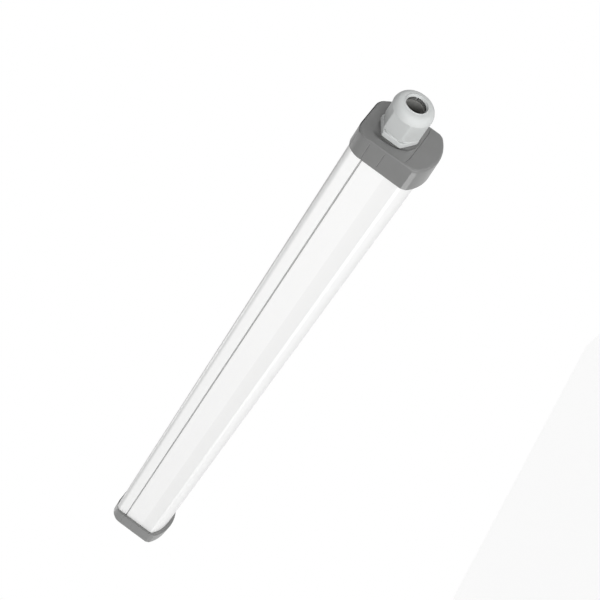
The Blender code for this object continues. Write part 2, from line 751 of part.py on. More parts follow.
def gland_dome_nut(axis):
    """A nut with flats under a round dome, and a cone inside that closes the claws."""
    hexagonal = hexagon(GLAND_ACROSS_FLATS, HEX_CORNER_RADIUS, NUT_TURN)
    chamfered = hexagon(GLAND_ACROSS_FLATS, GLAND_ACROSS_FLATS / 2)
    flats_end = NUT_FOOT + NUT_HEIGHT * NUT_HEX_SHARE
    dome_start = NUT_FOOT + NUT_HEIGHT * DOME_START_SHARE
    lip = NUT_TOP - NUT_LIP_ROUND
    stations = [(NUT_FOOT, chamfered), (NUT_FOOT + NUT_FOOT_CHAMFER, hexagonal), (flats_end, hexagonal)]
    first = flats_end + NUT_LEDGE_RUN
    for i in range(DOME_STEPS + 1):
        x = first + (lip - first) * math.sin(math.pi / 2 * i / DOME_STEPS)
        fall = (1 - ((x - dome_start) / (lip - dome_start)) ** DOME_FULLNESS) ** (1 / DOME_FULLNESS)
        stations.append((x, NUT_MOUTH_OUTER + (DOME_RADIUS - NUT_MOUTH_OUTER) * fall))
    cone_top = NUT_FOOT + NUT_HEIGHT * NUT_CONE_TOP_SHARE
    thread_top = NUT_FOOT + NUT_HEIGHT * NUT_THREAD_SHARE
    stations += [
        (NUT_TOP, NUT_MOUTH_OUTER - NUT_LIP_ROUND / 2),
        (NUT_TOP, NUT_MOUTH_INNER + NUT_LIP_ROUND / 2),
        (lip, NUT_MOUTH_INNER),
        (cone_top, NUT_MOUTH_INNER),
        (cone_top, NUT_CONE_TOP_RADIUS),
        (thread_top, NUT_BORE),
        (NUT_FOOT + NUT_FOOT_CHAMFER, NUT_BORE),
        (NUT_FOOT, NUT_BORE + NUT_FOOT_CHAMFER),
    ]
    turned("gland_dome_nut", stations, gland_grey(), axis)


def tray_outline():
    """Section of the tray's sheet: flat, with a pressed bead along each side, edges in the rails."""
    half = INNER_HALF_WIDTH - TRAY_EDGE_CLEARANCE
    bead = BEAD_WIDTH / 2
    crown = bead * BEAD_TOP_SHARE
    right = [
        (BEAD_OFFSET - bead, 0.0),
        (BEAD_OFFSET - crown, BEAD_HEIGHT),
        (BEAD_OFFSET + crown, BEAD_HEIGHT),
        (BEAD_OFFSET + bead, 0.0),
        (half, 0.0),
    ]
    across = [(-y, rise) for y, rise in reversed(right)] + right
    lower = [(y, rise - TRAY_LEVEL) for y, rise in across]
    upper = [(y, rise + TRAY_TOP) for y, rise in reversed(across)]
    return lower + upper


def screw_places():
    """(name, x, y) of the screws that go into the tray."""
    ear = EAR_LENGTH / 2
    return [
        ("driver_screw_inner", DRIVER_START - ear, SCREW_OFFSET),
        ("driver_screw_gland_end", DRIVER_END + ear, -SCREW_OFFSET),
        ("earth_screw", EARTH_SCREW_PLACE, -SCREW_OFFSET),
    ]


def hole_cutter(name, radius, low, high, places):
    bm = bmesh.new()
    for x, y in places:
        rings = []
        for z in (low, high):
            turn = [math.tau * i / SMALL_TURN_STEPS for i in range(SMALL_TURN_STEPS)]
            rings.append([Vector((x + radius * math.cos(a), y + radius * math.sin(a), z)) for a in turn])
        add_rings(bm, rings)
    return object_of(name, bm, zinc_steel())


def gear_tray():
    obj = prism_x("gear_tray", tray_outline(), -TRAY_END, TRAY_END, white_steel())
    low = -TRAY_LEVEL - OVERRUN
    high = TRAY_TOP + OVERRUN
    holes = [(x, y) for name, x, y in screw_places()]
    slot_low = (LEAD_SLOT_PLACE - LEAD_SLOT_LENGTH / 2, -LEAD_SLOT_WIDTH / 2, low)
    slot_high = (LEAD_SLOT_PLACE + LEAD_SLOT_LENGTH / 2, LEAD_SLOT_WIDTH / 2, high)
    cut(
        obj,
        hole_cutter("tray_hole_cutter", SCREW_HOLE_RADIUS, low, high, holes),
        box("tray_slot_cutter", slot_low, slot_high, white_steel()),
    )


def tray_stop(name, side):
    """A moulded frame behind the tray's end, with an arm that reaches to the cap's inner face."""
    half_width = INNER_HALF_WIDTH - RAIL_REACH - STOP_SIDE_CLEARANCE
    outline = whole_section(
        half_section(
            half_width,
            -TUBE_WALL - SEAT_GAP,
            NOSE_RADIUS - TUBE_WALL - SEAT_GAP,
            STOP_CORNER,
            STOP_NOSE_CORNER,
        )
    )
    near = side * (TRAY_END + SEAT_GAP)
    far = near + side * STOP_THICKNESS
    obj = prism_x(name, outline, near, far, white_plastic())
    xs = sorted((near - side * OVERRUN, far + side * OVERRUN))
    window_low = (xs[0], -STOP_WINDOW_WIDTH / 2, -STOP_WINDOW_TOP - STOP_WINDOW_HEIGHT)
    window_high = (xs[1], STOP_WINDOW_WIDTH / 2, -STOP_WINDOW_TOP)
    cut(obj, box(f"{name}_window_cutter", window_low, window_high, white_plastic()))
    tip = side * (CAP_INNER_FACE - SEAT_GAP)
    xs = sorted((far - side * STOP_THICKNESS / 2, tip))
    foot = -AXIS_DEPTH - NOSE_RADIUS + TUBE_WALL + STOP_ARM_SPACE
    arm_low = (xs[0], -STOP_ARM_WIDTH / 2, foot)
    arm_high = (xs[1], STOP_ARM_WIDTH / 2, foot + STOP_ARM_THICKNESS)
    join(obj, box(f"{name}_arm", arm_low, arm_high, white_plastic()))


def led_board(name, side):
    start, end = sorted((side * BOARD_MIDDLE_GAP / 2, side * BOARD_END))
    half = BOARD_WIDTH / 2
    foot = BOARD_TOP - BOARD_THICKNESS
    obj = box(name, (start, -half, foot), (end, half, BOARD_TOP), white_plastic())
    bm = bmesh.new()
    last = BOARD_END - LED_LAST_SPACE
    for i in range(LED_COUNT):
        x = side * (LED_FIRST + (last - LED_FIRST) * i / (LED_COUNT - 1))
        low = (x - LED_LENGTH / 2, -LED_WIDTH / 2, foot - LED_HEIGHT)
        add_box(bm, low, (x + LED_LENGTH / 2, LED_WIDTH / 2, foot + LED_SINK))
    join(obj, object_of(f"{name}_leds", bm, white_plastic()))
    holes = [(x, y) for screw, x, y in screw_places() if x * side > 0]
    if holes:
        low = foot - OVERRUN
        high = BOARD_TOP + OVERRUN
        cut(obj, hole_cutter(f"{name}_hole_cutter", BOARD_HOLE_RADIUS, low, high, holes))


def board_link():
    top = BOARD_TOP - BOARD_THICKNESS - SEAT_GAP
    levels = [(top, 0.0), (top - LINK_HEIGHT + LINK_CHAMFER, 0.0), (top - LINK_HEIGHT, LINK_CHAMFER)]
    tapered_box("board_link", LINK_LENGTH, LINK_WIDTH, levels, white_plastic())


def driver_base():
    """Foot plate of the driver with an ear at each end."""
    half = DRIVER_WIDTH / 2
    top = DRIVER_FOOT + DRIVER_WALL
    low = (DRIVER_START, -half, DRIVER_FOOT)
    obj = box("driver_base", low, (DRIVER_END, half, top), driver_white())
    low = (DRIVER_START - EAR_LENGTH, -EAR_WIDTH / 2, DRIVER_FOOT)
    join(obj, box("driver_ears", low, (DRIVER_END + EAR_LENGTH, EAR_WIDTH / 2, top), driver_white()))
    holes = [(x, y) for name, x, y in screw_places() if name != "earth_screw"]
    low = DRIVER_FOOT - OVERRUN
    cut(obj, hole_cutter("ear_hole_cutter", SCREW_HOLE_RADIUS, low, top + OVERRUN, holes))


def driver_board():
    """Circuit board with the transformer, capacitors and choke standing on it."""
    foot = DRIVER_FOOT + DRIVER_WALL + SEAT_GAP
    top = foot + DRIVER_BOARD_THICKNESS
    half_length = DRIVER_LENGTH / 2 - DRIVER_WALL - DRIVER_BOARD_SPACE
    half_width = DRIVER_WIDTH / 2 - DRIVER_WALL - SEAT_GAP
    low = (DRIVER_MIDDLE - half_length, -half_width, foot)
    obj = box("driver_board", low, (DRIVER_MIDDLE + half_length, half_width, top), board_green())
    length, width, height = TRANSFORMER_SIZE
    seat = top - COMPONENT_SINK
    low = (DRIVER_MIDDLE - length / 2, -width / 2, seat)
    high = (DRIVER_MIDDLE + length / 2, width / 2, top + height)
    join(obj, box("driver_transformer", low, high, board_green()))
    for number, share in enumerate(CAPACITOR_PLACE_SHARES):
        place = (DRIVER_MIDDLE + share * DRIVER_LENGTH, 0, 0)
        head = top + CAPACITOR_HEIGHT
        name = f"driver_capacitor_{number}"
        can = cylinder_z(name, CAPACITOR_RADIUS, seat, head, board_green(), place=place)
        join(obj, can)
    place = (DRIVER_MIDDLE + CHOKE_PLACE_SHARE * DRIVER_LENGTH, 0, 0)
    join(obj, cylinder_z("driver_choke", CHOKE_RADIUS, seat, top + CHOKE_HEIGHT, board_green(), place=place))


def driver_cover():
    foot = DRIVER_FOOT + DRIVER_WALL + SEAT_GAP
    top = DRIVER_FOOT + DRIVER_HEIGHT
    levels = [(foot, 0.0), (top - DRIVER_CORNER, 0.0), (top, DRIVER_CORNER)]
    place = (DRIVER_MIDDLE, 0, 0)
    obj = tapered_box("driver_cover", DRIVER_LENGTH, DRIVER_WIDTH, levels, driver_white(), place=place)
    inside = [
        (foot - OVERRUN, DRIVER_WALL),
        (top - DRIVER_CORNER, DRIVER_WALL),
        (top - DRIVER_WALL, DRIVER_CORNER + DRIVER_WALL / 2),
    ]
    cutter = tapered_box(
        "driver_cover_cutter", DRIVER_LENGTH, DRIVER_WIDTH, inside, driver_white(), place=place
    )
    cut(obj, cutter)


def screw(name, x, y):
    """Pan head screw standing on its seat, with a plain shank through the tray."""
    seat = TRAY_TOP + SEAT_GAP
    if name != "earth_screw":
        seat = DRIVER_FOOT + DRIVER_WALL + SEAT_GAP
    foot = -TRAY_LEVEL - SCREW_REACH
    place = (x, y, 0)
    obj = cylinder_z(name, SCREW_HEAD_RADIUS, seat, seat + SCREW_HEAD_HEIGHT, zinc_steel(), place=place)
    top = seat + SCREW_HEAD_HEIGHT / 2
    join(obj, cylinder_z(f"{name}_shank", SCREW_SHANK_RADIUS, foot, top, zinc_steel(), place=place))


def pole_places():
    return [POLE_PITCH * (i - (POLE_COUNT - 1) / 2) for i in range(POLE_COUNT)]


def terminal_block():
    half = TERMINAL_LENGTH / 2
    outline = [
        (-half, TERMINAL_FOOT),
        (half, TERMINAL_FOOT),
        (half, TERMINAL_TOP - TERMINAL_CHAMFER),
        (half - TERMINAL_CHAMFER, TERMINAL_TOP),
        (-half + TERMINAL_CHAMFER, TERMINAL_TOP),
        (-half, TERMINAL_TOP - TERMINAL_CHAMFER),
    ]
    place = (TERMINAL_MIDDLE, 0, 0)
    obj = prism_y("terminal_block", outline, TERMINAL_WIDTH / 2, white_plastic(), place=place)
    wells = bmesh.new()
    entries = bmesh.new()
    for y in pole_places():
        low = (-WELL_LENGTH / 2, y - WELL_WIDTH / 2, TERMINAL_TOP - WELL_DEPTH)
        add_box(wells, low, (WELL_LENGTH / 2, y + WELL_WIDTH / 2, TERMINAL_TOP + OVERRUN))
        middle = TERMINAL_FOOT + ENTRY_LEVEL
        low = (WELL_LENGTH / 2 - OVERRUN, y - ENTRY_SIZE / 2, middle - ENTRY_SIZE / 2)
        add_box(entries, low, (half + OVERRUN, y + ENTRY_SIZE / 2, middle + ENTRY_SIZE / 2))
    cut(
        obj,
        object_of("terminal_well_cutter", wells, white_plastic(), place=place),
        object_of("terminal_entry_cutter", entries, white_plastic(), place=place),
    )


def terminal_button(number, y):
    top = TERMINAL_TOP + BUTTON_STAND
    foot = top - BUTTON_HEIGHT
    length = WELL_LENGTH - 2 * BUTTON_CLEARANCE
    width = WELL_WIDTH - 2 * BUTTON_CLEARANCE
    levels = [(foot - top, 0.0), (-BUTTON_CHAMFER, 0.0), (0.0, BUTTON_CHAMFER)]
    place = (TERMINAL_MIDDLE, y, top)
    tapered_box(f"terminal_button_{number}", length, width, levels, button_orange(), place=place)


def terminal_spring(number, y):
    """Strip spring bent like a C, which stands in the well and carries the button."""
    foot = TERMINAL_TOP - WELL_DEPTH + SEAT_GAP
    outer = (TERMINAL_TOP + BUTTON_STAND - BUTTON_HEIGHT - SEAT_GAP - foot) / 2
    inner = outer - SPRING_STRIP
    tip = -SPRING_LENGTH / 2
    middle = SPRING_LENGTH / 2 - outer
    turn = [math.pi * (i / SPRING_BEND_STEPS - 1 / 2) for i in range(SPRING_BEND_STEPS + 1)]
    outline = [(tip, foot)]
    outline += [(middle + outer * math.cos(a), foot + outer + outer * math.sin(a)) for a in turn]
    outline += [(tip, foot + 2 * outer), (tip, foot + outer + inner)]
    outline += [(middle + inner * math.cos(a), foot + outer + inner * math.sin(a)) for a in reversed(turn)]
    outline.append((tip, foot + SPRING_STRIP))
    place = (TERMINAL_MIDDLE, y, 0)
    prism_y(f"terminal_spring_{number}", outline, SPRING_WIDTH / 2, spring_steel(), place=place)


def smooth_route(points):
    """Points along a smooth curve through the route's own points."""
    outer = [2 * points[0] - points[1]] + points + [2 * points[-1] - points[-2]]
    headings = [(after - before).normalized() for before, after in zip(outer, outer[2:])]
    route = []
    for i in range(len(points) - 1):
        start, end = points[i], points[i + 1]
        length = (end - start).length
        steps = max(2, round(length / WIRE_POINT_SPACING))
        for step in range(steps):
            t = step / steps
            place = start * (2 * t**3 - 3 * t**2 + 1) + end * (3 * t**2 - 2 * t**3)
            bend = headings[i] * (t**3 - 2 * t**2 + t) + headings[i + 1] * (t**3 - t**2)
            route.append(place + bend * length)
    return route + [points[-1]]


def wire(name, points, colour):
    curve = bpy.data.curves.new(name, "CURVE")
    curve.dimensions = "3D"
    curve.bevel_depth = WIRE_RADIUS
    curve.bevel_resolution = 2
    curve.use_fill_caps = True
    route = smooth_route([Vector(point) for point in points])
    spline = curve.splines.new("POLY")
    spline.points.add(len(route) - 1)
    for point, place in zip(spline.points, route):
        point.co = (*place, 1.0)
    curve.materials.append(material(f"{name}_insulation", colour, 0.4))
    obj = bpy.data.objects.new(name, curve)
    bpy.context.collection.objects.link(obj)


def wires():
    """Leads from the terminal block to the driver and the earth screw, and on to the LED board."""
    block = TERMINAL_BACK - SEAT_GAP
    case = DRIVER_END + SEAT_GAP
    level = TERMINAL_FOOT + ENTRY_LEVEL
    names = ("wire_earth", "wire_neutral", "wire_live")
    colours = ((0.10, 0.35, 0.06), (0.03, 0.09, 0.45), (0.20, 0.06, 0.02))
    for name, y, colour in zip(names, pole_places(), colours):
        ends = [(block, y, level), (block - WIRE_STRAIGHT, y, level)]
        if name == "wire_earth":
            seat = TRAY_TOP + SEAT_GAP + SCREW_HEAD_HEIGHT + SEAT_GAP + WIRE_RADIUS
            points = ends + [
                (EARTH_SCREW_PLACE + 2 * WIRE_STRAIGHT, (y - SCREW_OFFSET) / 2, (level + seat) / 2),
                (EARTH_SCREW_PLACE + WIRE_STRAIGHT, -SCREW_OFFSET, seat),
                (EARTH_SCREW_PLACE, -SCREW_OFFSET, seat),
            ]
        else:
            points = ends + [
                ((block + case) / 2, y / 2 + LEAD_SPREAD, level + WIRE_STRAIGHT),
                (case + WIRE_STRAIGHT, y / 2 + LEAD_SPREAD, level),
                (case, y / 2 + LEAD_SPREAD, level),
            ]
        wire(name, points, colour)
    out = DRIVER_START - SEAT_GAP
    down = BOARD_TOP + SEAT_GAP
    for name, side, colour in (
        ("led_lead_plus", 1, (0.45, 0.02, 0.02)),
        ("led_lead_minus", -1, (0.02, 0.02, 0.02)),
    ):
        y = side * LEAD_SPREAD
        points = [
            (out, y, level),
            (out - WIRE_STRAIGHT, y, level),
            (LEAD_SLOT_PLACE + WIRE_STRAIGHT, y, (level + down) / 2),
            (LEAD_SLOT_PLACE, y, down + WIRE_STRAIGHT),
            (LEAD_SLOT_PLACE, y, down),
        ]
        wire(name, points, colour)


def build():
    clear_scene()
    diffuser_tube()
    end_cap("end_cap_gland", 1, True)
    end_cap("end_cap_blind", -1, False)
    end_seal("end_seal_gland", 1)
    end_seal("end_seal_blind", -1)
    axis = empty("gland_axis", (GLAND_FACE, 0, -AXIS_DEPTH))
    gland_body(axis)
    gland_gasket(axis)
    gland_lock_nut(axis)
    gland_seal_insert(axis)
    gland_clamp_ring(axis)
    gland_dome_nut(axis)
    gear_tray()
    tray_stop("tray_stop_gland", 1)
    tray_stop("tray_stop_blind", -1)
    led_board("led_board_gland", 1)
    led_board("led_board_blind", -1)
    board_link()
    driver_base()
    driver_board()
    driver_cover()
    for name, x, y in screw_places():
        screw(name, x, y)
    terminal_block()
    for number, y in enumerate(pole_places(), 1):
        terminal_button(number, y)
        terminal_spring(number, y)
    wires()


build()
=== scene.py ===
import math

import bmesh
import bpy
from mathutils import Matrix, Vector


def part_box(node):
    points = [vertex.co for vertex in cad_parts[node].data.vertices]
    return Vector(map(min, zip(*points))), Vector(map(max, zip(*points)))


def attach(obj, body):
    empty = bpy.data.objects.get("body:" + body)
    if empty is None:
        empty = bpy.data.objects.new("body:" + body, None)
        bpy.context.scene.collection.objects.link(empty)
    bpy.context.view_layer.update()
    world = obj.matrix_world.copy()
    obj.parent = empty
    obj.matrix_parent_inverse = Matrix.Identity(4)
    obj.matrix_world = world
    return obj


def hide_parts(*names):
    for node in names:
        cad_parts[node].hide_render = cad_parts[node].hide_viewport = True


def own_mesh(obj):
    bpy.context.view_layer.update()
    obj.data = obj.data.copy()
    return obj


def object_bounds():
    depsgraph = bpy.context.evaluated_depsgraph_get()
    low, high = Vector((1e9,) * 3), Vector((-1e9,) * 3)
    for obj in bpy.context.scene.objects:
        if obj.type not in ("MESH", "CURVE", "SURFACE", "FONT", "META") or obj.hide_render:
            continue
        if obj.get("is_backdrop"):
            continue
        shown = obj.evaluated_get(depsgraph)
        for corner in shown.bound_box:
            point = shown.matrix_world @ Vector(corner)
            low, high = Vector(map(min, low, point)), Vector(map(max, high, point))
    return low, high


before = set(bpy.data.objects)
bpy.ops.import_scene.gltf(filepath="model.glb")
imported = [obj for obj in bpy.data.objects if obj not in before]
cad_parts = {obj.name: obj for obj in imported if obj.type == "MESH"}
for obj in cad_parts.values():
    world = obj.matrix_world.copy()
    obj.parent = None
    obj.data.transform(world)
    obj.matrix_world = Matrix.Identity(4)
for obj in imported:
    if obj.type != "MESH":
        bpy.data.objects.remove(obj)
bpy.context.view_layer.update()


# Diffuser tube: one length of co-extruded opal plastic with a flat back, clip grooves along its
# sides, a flat facet at each nose corner, and two rails inside that carry the gear tray.

tube_half_width = 0.0185
axis_depth = 0.0202
nose_radius = 0.0279
tube_wall = 0.0016
back_corner = 0.0050
nose_corner = 0.0030
groove_level = 0.0121
groove_half_width = 0.0006
groove_depth = 0.0012
rail_reach = 0.0014
rail_levels = ((-0.0261, -0.0271), (-0.0285, -0.0295))
tube_half_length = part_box("diffuser_tube")[1].x
corner_steps = 12
facet_steps = (0, 1, 8, 9)
nose_steps = 30
sharp_degrees = 32
fine_degrees = 15


def on_arc(y, z, radius, turn):
    """The point at that angle of an arc round (y, z)."""
    return y + radius * math.cos(turn), z + radius * math.sin(turn)


def half_outline(width, back, nose, corner, nose_fillet, side=()):
    """Right half of the fixture's section as (y, z), from the middle of the back to the nose.

    The side holds the points between the back's corner and the nose's as (inset, z).
    """
    points = [(0.0, back), ((width - corner) / 2, back)]
    for i in range(corner_steps + 1):
        turn = math.pi / 2 * (1 - i / corner_steps)
        points.append(on_arc(width - corner, back - corner, corner, turn))
    points += [(width - inset, z) for inset, z in side]
    across = width - nose_fillet
    down = -math.sqrt((nose - nose_fillet) ** 2 - across**2)
    end = math.atan2(down, across)
    # the fillet's middle steps are left out, which leaves the flat facet
    for i in facet_steps:
        points.append(on_arc(across, down - axis_depth, nose_fillet, end * i / facet_steps[-1]))
    for i in range(1, nose_steps + 1):
        points.append(on_arc(0.0, -axis_depth, nose, end + (-math.pi / 2 - end) * i / nose_steps))
    points[-1] = (0.0, points[-1][1])
    return points


def plain_side(*levels):
    """Points of the side that only keep the number of points, so that the rings of a skin match."""
    return [(0.0, z) for z in levels]


def both_halves(half):
    """The whole section from its right half."""
    return half + [(-y, z) for y, z in reversed(half[1:-1])]


def tube_outline(grow, side=()):
    """The tube's section, larger all round by that much."""
    return both_halves(
        half_outline(
            tube_half_width + grow,
            grow,
            nose_radius + grow,
            back_corner + grow,
            nose_corner + grow,
            side,
        )
    )


def placed(name, data):
    """A new object in the scene."""
    piece = bpy.data.objects.new(name, data)
    bpy.context.collection.objects.link(piece)
    return piece


def mesh_of(shape, name):
    """The mesh of a finished bmesh."""
    mesh = bpy.data.meshes.new(name)
    shape.to_mesh(mesh)
    shape.free()
    return mesh


def shell_mesh(name, rings, closed=False):
    """A mesh through rings of points. Closed joins the last ring to the first, as in a collar."""
    shell = bmesh.new()
    rows = [[shell.verts.new(p) for p in ring] for ring in rings]
    if closed:
        rows.append(rows[0])
    else:
        shell.faces.new(rows[0])
        shell.faces.new(rows[-1])
    for one, other in zip(rows, rows[1:]):
        for i in range(len(one)):
            j = (i + 1) % len(one)
            shell.faces.new((one[i], one[j], other[j], other[i]))
    bmesh.ops.recalc_face_normals(shell, faces=shell.faces)
    return mesh_of(shell, name)


def smooth_under(mesh, degrees):
    """Shades a mesh smooth, and keeps the edges sharp that bend by more than that."""
    mesh.shade_smooth()
    mesh.set_sharp_from_angle(angle=math.radians(degrees))


def skin(name, rings, surface, closed=False, sharp=sharp_degrees):
    """A piece with one finish through rings of points, smooth up to the sharp angle in degrees."""
    mesh = shell_mesh(name, rings, closed)
    smooth_under(mesh, sharp)
    mesh.materials.append(surface)
    return placed(name, mesh)


def add_node(tree, kind, values=None, operation=None):
    """A new node of a tree, with its operation and with the inputs that hold a fixed value."""
    node = tree.nodes.new(kind)
    if operation:
        node.operation = operation
    for socket, value in (values or {}).items():
        node.inputs[socket].default_value = value
    return node


def wire(tree, *wires):
    """Links of a tree: the node and output that each one leaves, the node and input it reaches."""
    for source, output, target, socket in wires:
        tree.links.new(source.outputs[output], target.inputs[socket])


def new_surface(name, colour, roughness, metallic=0.0):
    """A Principled material, the tree that a finish is built in, and its shader."""
    surface = bpy.data.materials.new(name)
    surface.use_nodes = True
    shader = surface.node_tree.nodes["Principled BSDF"]
    shader.inputs["Base Color"].default_value = (*colour, 1)
    shader.inputs["Roughness"].default_value = roughness
    shader.inputs["Metallic"].default_value = metallic
    return surface, surface.node_tree, shader


# painted shade of the opal plastic up the tube's height, from the nose at 0 to the back at 1: a darker
# nose for its shading, a step at the tray's plane for the tray's shadow through the wall, painted shade
# in the clip groove, and a darker back for the shade along the back edge
tone_foot = -0.0484
nose_painted_shade = (0.78, 0.78, 0.78, 1)
back_painted_shade = (0.62, 0.62, 0.615, 1)
tone_warmth = 0.004
painted_shade_stops = (
    (0.09, 0.85), (0.385, 0.89), (0.395, 0.94), (0.402, 0.93), (0.737, 0.93), (0.739, 0.56),
    (0.761, 0.56), (0.763, 0.93), (0.91, 0.93), (0.965, 0.72),
)


def opal_plastic():
    """Milky plastic: faint die lines along its length, and painted shade by height for the tray's
    shadow, groove, nose and back.
    """
    surface, tree, shader = new_surface("opal_plastic", (0.92, 0.92, 0.915), 0.32)
    place = add_node(tree, "ShaderNodeTexCoord")
    die = add_node(tree, "ShaderNodeMapping", {"Scale": (2, 900, 900)})
    lines = add_node(tree, "ShaderNodeTexNoise", {"Scale": 1, "Detail": 2})
    level = add_node(tree, "ShaderNodeSeparateXYZ")
    height = add_node(tree, "ShaderNodeMapRange", {"From Min": tone_foot, "From Max": 0.0})
    # the ramp paints shade by height: a darker nose, the tray's shadow through the wall, the groove's
    # shade and a darker back
    ramp = add_node(tree, "ShaderNodeValToRGB")
    stops = ramp.color_ramp.elements
    stops[0].position, stops[0].color = 0.0, nose_painted_shade
    stops[1].position, stops[1].color = 1.0, back_painted_shade
    for position, grey in painted_shade_stops:
        stops.new(position).color = (grey, grey, grey - tone_warmth, 1)
    streak = add_node(tree, "ShaderNodeMapRange", {"To Min": 0.985, "To Max": 1.0})
    tone = add_node(tree, "ShaderNodeVectorMath", operation="SCALE")
    gloss = add_node(tree, "ShaderNodeMapRange", {"To Min": 0.28, "To Max": 0.36})
    wire(
        tree,
        (place, "Object", die, "Vector"),
        (die, "Vector", lines, "Vector"),
        (place, "Object", level, "Vector"),
        (level, "Z", height, "Value"),
        (height, "Result", ramp, "Fac"),
        (lines, "Fac", streak, "Value"),
        (ramp, "Color", tone, 0),
        (streak, "Result", tone, "Scale"),
        (tone, "Vector", shader, "Base Color"),
        (lines, "Fac", gloss, "Value"),
        (gloss, "Result", shader, "Roughness"),
    )
    return surface


# the side's points as (inset, z): the groove outside and the rails inside, eight points each
groove_points = [
    (0.0, -groove_level + groove_half_width),
    (groove_depth, -groove_level + groove_half_width / 2),
    (groove_depth, -groove_level - groove_half_width / 2),
    (0.0, -groove_level - groove_half_width),
    *plain_side(-0.0200, -0.0260, -0.0300, -0.0360),
]
rail_points = [
    (inset, z)
    for upper, lower in rail_levels
    for inset, z in ((0.0, upper), (rail_reach, upper), (rail_reach, lower), (0.0, lower))
]
outer_line = tube_outline(0.0, groove_points)
inner_line = tube_outline(-tube_wall, rail_points)
tube = skin(
    "opal_tube",
    [
        [Vector((x, y, z)) for y, z in line]
        for x, line in (
            (-tube_half_length, outer_line),
            (tube_half_length, outer_line),
            (tube_half_length, inner_line),
            (-tube_half_length, inner_line),
        )
    ],
    opal_plastic(),
    closed=True,
    sharp=fine_degrees,
)
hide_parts("diffuser_tube")
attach(tube, "fixture")


# End caps: injection moulded in mid grey, pressed over the tube. Two fine mould lines run along each
# side. In the end face a trough lies round the gland's seat, a soft crest rises round the trough and
# falls to the cap's edges, and a small step leads up to the raised flat at the nose.

cap_length = 0.0187
cap_side_stand = 0.0026
cap_nose_stand = 0.0036
cap_back_stand = 0.0013
cap_draft = 0.0006
cap_back_corner = 0.0110
cap_nose_corner = 0.0052
cap_fit = 0.0003
cap_foot_bevel = 0.0004
cap_end_wall = 0.0030
gland_hole = 0.0102
blind_middle = 0.0005
end_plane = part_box("end_cap_gland")[1].x

# the round of the end face's edge is small along the sides and larger at the nose and the back
side_round = 0.0007
nose_round = 0.0020
nose_round_from = 0.0330
round_blend = 0.0060
round_steps = 8

# the end face by radius from the gland's axis, and its levels below the raised flat
seat_depth = 0.0007
seat_radius = 0.0122
seat_edge = 0.0002
trough_depth = 0.0015
trough_radius = 0.0134
crest_radius = 0.0152
crest_drift = 0.0050
crest_fall = 0.18
crest_clearance = 0.0001
brim_depth = 0.0009
brim_nose_share = 0.60
brim_tilt = 0.0017
brim_tilt_from = 0.0090
flat_edge = 0.0158
step_width = 0.0004
rim_land = 0.0002
rise_steps = 8
fall_steps = 4
step_steps = 6

# the mould lines: levels of each line's V down the side, and rows along the cap as (place, share of
# the draft, depth of the long line, depth of the short one)
long_line_levels = (-0.0108, -0.0112, -0.0116)
short_line_levels = (-0.0217, -0.0221, -0.0225)
line_depth = 0.0003
line_rows = (
    (-0.0030, 0.11, 0.0, 0.0),
    (-0.0031, 0.12, line_depth, line_depth),
    (-0.0152, 0.80, line_depth, line_depth),
    (-0.0153, 0.81, line_depth, 0.0),
)


def add_sockets(tree, inputs, outputs):
    """Gives a tree its inputs and outputs, by name and kind, and returns the nodes that hold them."""
    for side, sockets in (("INPUT", inputs), ("OUTPUT", outputs)):
        for socket, kind in sockets.items():
            tree.interface.new_socket(socket, in_out=side, socket_type=f"NodeSocket{kind}")
    return add_node(tree, "NodeGroupInput"), add_node(tree, "NodeGroupOutput")


def moulded_grain_group():
    """Colour, roughness and normal of a moulded surface: a soft mottle and a fine spark grain."""
    group = bpy.data.node_groups.new("moulded_grain", "ShaderNodeTree")
    inputs = {"Colour": "Color", "Mottle": "Float", "Roughness": "Float"}
    inputs |= {"Grain Size": "Float", "Grain Depth": "Float"}
    outputs = {"Colour": "Color", "Roughness": "Float", "Normal": "Vector"}
    given, put = add_sockets(group, inputs, outputs)
    place = add_node(group, "ShaderNodeTexCoord")
    cloud = add_node(group, "ShaderNodeTexNoise", {"Scale": 90, "Detail": 3})
    spark = add_node(group, "ShaderNodeTexNoise", {"Detail": 2})
    swing = add_node(group, "ShaderNodeMapRange", {"From Min": 0.3, "From Max": 0.7})
    low = add_node(group, "ShaderNodeMath", {0: 1}, operation="SUBTRACT")
    high = add_node(group, "ShaderNodeMath", {0: 1}, operation="ADD")
    tone = add_node(group, "ShaderNodeVectorMath", operation="SCALE")
    rough = add_node(group, "ShaderNodeMath", operation="DIVIDE")
    bump = add_node(group, "ShaderNodeBump", {"Distance": 0.00004})
    wire(
        group,
        (place, "Object", cloud, "Vector"),
        (place, "Object", spark, "Vector"),
        (given, "Grain Size", spark, "Scale"),
        (cloud, "Fac", swing, "Value"),
        (given, "Mottle", low, 1),
        (given, "Mottle", high, 1),
        (low, 0, swing, "To Min"),
        (high, 0, swing, "To Max"),
        (given, "Colour", tone, 0),
        (swing, "Result", tone, "Scale"),
        (given, "Roughness", rough, 0),
        (swing, "Result", rough, 1),
        (spark, "Fac", bump, "Height"),
        (given, "Grain Depth", bump, "Strength"),
        (tone, "Vector", put, "Colour"),
        (rough, 0, put, "Roughness"),
        (bump, "Normal", put, "Normal"),
    )
    return group


moulded_grain = moulded_grain_group()


def moulded(name, colour, roughness, mottle, grain_size, grain_depth, metallic=0.0):
    """A moulded or sprayed finish with a mottle and a grain of its own."""
    surface, tree, shader = new_surface(name, colour, roughness, metallic)
    grain = tree.nodes.new("ShaderNodeGroup")
    grain.node_tree = moulded_grain
    for socket, value in (
        ("Colour", (*colour, 1)),
        ("Mottle", mottle),
        ("Roughness", roughness),
        ("Grain Size", grain_size),
        ("Grain Depth", grain_depth),
    ):
        grain.inputs[socket].default_value = value
    wire(
        tree,
        (grain, "Colour", shader, "Base Color"),
        (grain, "Roughness", shader, "Roughness"),
        (grain, "Normal", shader, "Normal"),
    )
    return surface


def finish_kept(surface, *kept):
    """Gives its finish to a CAD mesh that stays as it is."""
    for node in kept:
        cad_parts[node].data.materials[0] = surface


